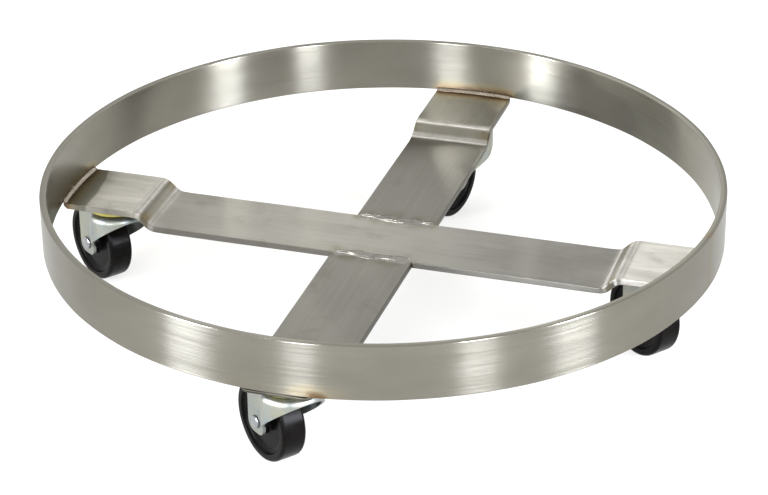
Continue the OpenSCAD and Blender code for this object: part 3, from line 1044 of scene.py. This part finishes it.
finish_piece(make_ring(), RING_STEEL, "stainless", "frame", "ring")
finish_piece(make_long_bar(), BAR_STEEL, "stainless", "frame", "bar_long")
for arm in ("rear", "front"):
    bar = make_bar("short_bar_" + arm, arm_path(BAR_W / 2), BEARINGS[arm])
    finish_piece(bar, BAR_STEEL, "stainless", "frame", "bar_" + arm)
    finish_piece(make_centre_weld(arm), BLENDED_WELD, "weld_metal", "frame", "centre_weld_" + arm)
finish_piece(make_seam(), GROUND_WELD, "weld_metal", "frame", "ring_seam_weld")
finish_piece(make_plate_welds(), WELD, "weld_metal", "frame", "plate_welds")

for arm in ARMS:
    fork_body, wheel_body = "fork_" + arm, "wheel_" + arm
    finish_piece(make_pad_weld(arm), WELD, "weld_metal", "frame", "pad_weld_" + arm)
    finish_piece(make_plate(arm), BURNT_ZINC, "bright_zinc", "frame", "caster_plate_" + arm)
    finish_piece(make_cup(arm), YELLOW_ZINC, "yellow_zinc", "frame", "race_cup_" + arm)
    finish_piece(make_fork(arm), BRIGHT_ZINC, "bright_zinc", fork_body, "fork_" + arm)
    finish_piece(make_bolt(arm), HEAD_ZINC, "bright_zinc", fork_body, "axle_bolt_" + arm)
    finish_piece(make_nut(arm), BRIGHT_ZINC, "bright_zinc", fork_body, "axle_nut_" + arm)
    finish_piece(make_wheel(arm), BLACK, "black_wheel", wheel_body, "wheel_" + arm)
    dress("kingpin_" + arm, BRIGHT_ZINC)
    dress("lower_washer_" + arm, BRIGHT_ZINC)
    dress("wheel_sleeve_" + arm, BRIGHT_ZINC)
    dress("race_balls_" + arm, BALL_STEEL)
    dress("lower_balls_" + arm, BALL_STEEL)

# ---- studio ----

CAM_AZ = math.radians(17.77)
CAM_EL = 0.4858
CAM_DISTANCE = 2.4964
CAM_SLIDE = (-0.00015, -0.0634)
CAM_ROLL = -0.0133
CAM_LENS = 131.25
TARGET = Vector((0.0, 0.0, RING_H * MM))

# azimuth, width and power of each upright strip light
STRIPS = ((-60.3, 0.50, 126.0), (-25.2, 0.43, 68.0), (26.6, 0.41, 77.0), (57.6, 0.52, 142.0))
STRIP_DISTANCE = 2.6
STRIP_HEIGHT = 1.25
STRIP_Z = STRIP_HEIGHT / 2 + 0.05
STRIP_COLOR = (0.93, 0.97, 1.07)


def make_floor():
    half = 14.0
    z = FLOOR_Z * MM - 0.0002
    mesh = bpy.data.meshes.new("floor")
    corners = [(-half, -half, z), (half, -half, z), (half, half, z), (-half, half, z)]
    mesh.from_pydata(corners, [], [(0, 1, 2, 3)])
    mesh.materials.append(floor_material())
    obj = link(bpy.data.objects.new("floor", mesh))


def make_camera():
    ca, sa, ce, se = math.cos(CAM_AZ), math.sin(CAM_AZ), math.cos(CAM_EL), math.sin(CAM_EL)
    right = Vector((ca, sa, 0))
    ahead = Vector((-sa * ce, ca * ce, -se))
    up = Vector((-sa * se, ca * se, ce))
    data = bpy.data.cameras.new("camera")
    data.lens = CAM_LENS
    data.sensor_width = 36.0
    data.clip_end = 100.0
    obj = link(bpy.data.objects.new("camera", data))
    side = right * math.cos(CAM_ROLL) + up * math.sin(CAM_ROLL)
    top = up * math.cos(CAM_ROLL) - right * math.sin(CAM_ROLL)
    matrix = Matrix((side, top, -ahead)).transposed().to_4x4()
    matrix.translation = TARGET - ahead * CAM_DISTANCE + right * CAM_SLIDE[0] + up * CAM_SLIDE[1]
    obj.matrix_world = matrix
    bpy.context.scene.camera = obj


def make_light(name, azimuth, elevation, distance, size, power, lift=0.0, color=(1.0, 1.0, 1.0)):
    """A soft rectangular light that faces the object, at an azimuth measured from the camera's side."""
    data = bpy.data.lights.new(name, "AREA")
    data.shape = "RECTANGLE"
    data.size, data.size_y = size
    data.energy = power
    data.color = color
    obj = link(bpy.data.objects.new(name, data))
    a, e = CAM_AZ + math.radians(azimuth), math.radians(elevation)
    toward = Vector((math.sin(a) * math.cos(e), -math.cos(a) * math.cos(e), math.sin(e)))
    obj.location = toward * distance + Vector((0, 0, lift))
    obj.rotation_mode = "QUATERNION"
    obj.rotation_quaternion = toward.to_track_quat("Z", "Y")


def make_strip(name, azimuth, width, power):
    """A tall cool light, upright beside the object, which the hoop mirrors as a bright band."""
    make_light(name, azimuth, 0, STRIP_DISTANCE, (width, STRIP_HEIGHT), power, STRIP_Z, STRIP_COLOR)


def make_world():
    world = bpy.data.worlds.new("studio")
    world.use_nodes = True
    back = world.node_tree.nodes["Background"]
    back.inputs[0].default_value = (1.0, 1.0, 1.0, 1.0)
    back.inputs[1].default_value = 1.25
    bpy.context.scene.world = world


make_floor()
make_camera()
make_world()
for index, (azimuth, width, power) in enumerate(STRIPS):
    make_strip(f"strip_{index}", azimuth, width, power)
make_light("back_left", 235, 45, 3.2, (2.6, 2.6), 12.0)
make_light("top_left", 205, 64, 3.0, (0.36, 0.36), 6.0)
make_light("top_right", 150, 58, 3.0, (0.28, 0.28), 3.0)
bpy.context.scene.view_settings.view_transform = "Standard"
